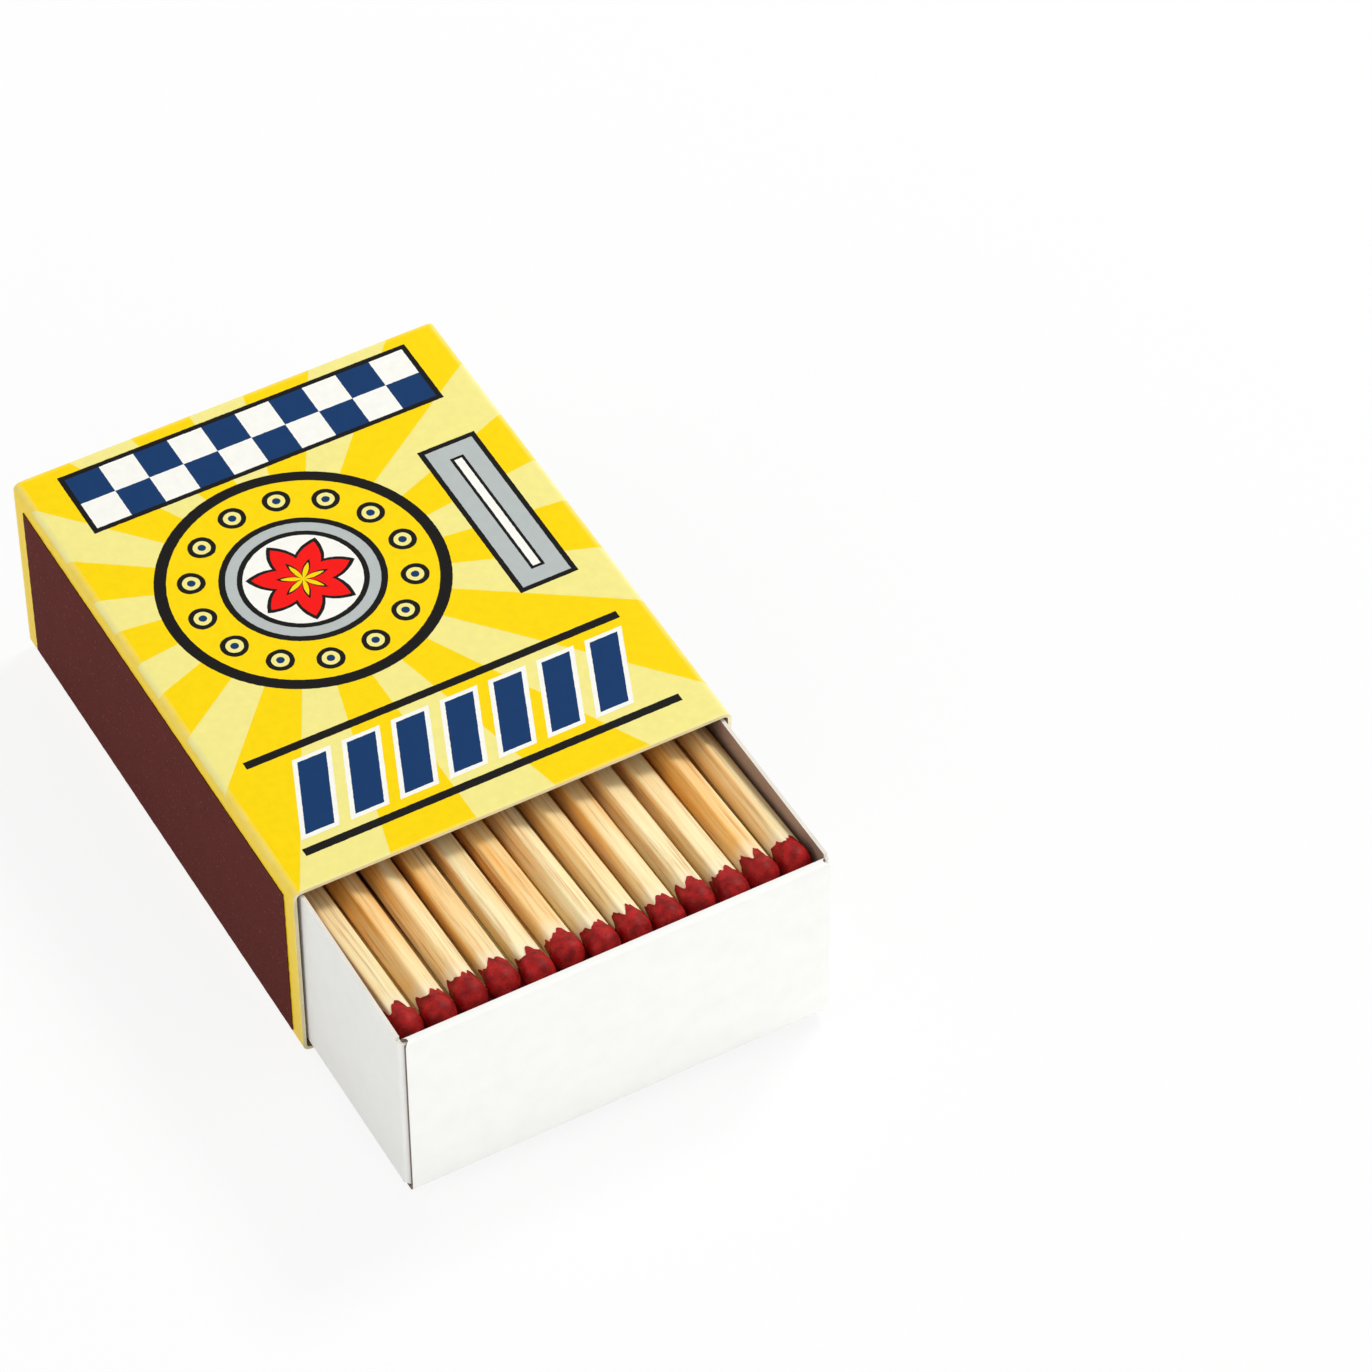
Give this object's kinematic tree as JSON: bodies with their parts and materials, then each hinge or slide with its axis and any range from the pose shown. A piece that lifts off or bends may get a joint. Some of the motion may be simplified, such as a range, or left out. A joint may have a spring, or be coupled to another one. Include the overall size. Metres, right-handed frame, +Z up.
{
  "type": "matchbox",
  "caption": "Sliding card matchbox: a printed sleeve with a striking strip on each long side, and a white card tray of wooden matches drawn part way out.",
  "frame": {"origin": "centre of the sleeve's underside, on the surface that the box stands on", "axes": "+X across the box to the right, +Y along the box away from the open end, +Z up; the tray is drawn out towards -Y"},
  "size_m": [0.0502, 0.087, 0.025],
  "materials": {
    "printed_card": "satin",
    "striking_surface": "matte",
    "white_card": "matte",
    "match_wood": "matte",
    "match_head": "matte"
  },
  "bodies": {
    "sleeve": {"sleeve": "printed_card", "striker_left": "striking_surface", "striker_right": "striking_surface"},
    "tray": {"tray": "white_card", "match_01_splint": "match_wood", "match_01_head": "match_head", "match_02_splint": "match_wood", "match_02_head": "match_head", "match_03_splint": "match_wood", "match_03_head": "match_head", "match_04_splint": "match_wood", "match_04_head": "match_head", "match_05_splint": "match_wood", "match_05_head": "match_head", "match_06_splint": "match_wood", "match_06_head": "match_head", "match_07_splint": "match_wood", "match_07_head": "match_head", "match_08_splint": "match_wood", "match_08_head": "match_head", "match_09_splint": "match_wood", "match_09_head": "match_head", "match_10_splint": "match_wood", "match_10_head": "match_head", "match_11_splint": "match_wood", "match_11_head": "match_head", "match_12_splint": "match_wood", "match_12_head": "match_head", "match_13_splint": "match_wood", "match_13_head": "match_head", "match_14_splint": "match_wood", "match_14_head": "match_head", "match_15_splint": "match_wood", "match_15_head": "match_head", "match_16_splint": "match_wood", "match_16_head": "match_head", "match_17_splint": "match_wood", "match_17_head": "match_head", "match_18_splint": "match_wood", "match_18_head": "match_head", "match_19_splint": "match_wood", "match_19_head": "match_head", "match_20_splint": "match_wood", "match_20_head": "match_head", "match_21_splint": "match_wood", "match_21_head": "match_head", "match_22_splint": "match_wood", "match_22_head": "match_head", "match_23_splint": "match_wood", "match_23_head": "match_head", "match_24_splint": "match_wood", "match_24_head": "match_head", "match_25_splint": "match_wood", "match_25_head": "match_head", "packed_matches": "match_wood"}
  },
  "joints": [
    {"name": "tray_slide", "type": "slide", "parent": "sleeve", "child": "tray", "axis": [0, -1, 0], "range_m": [-0.089, 0.045]}
  ]
}
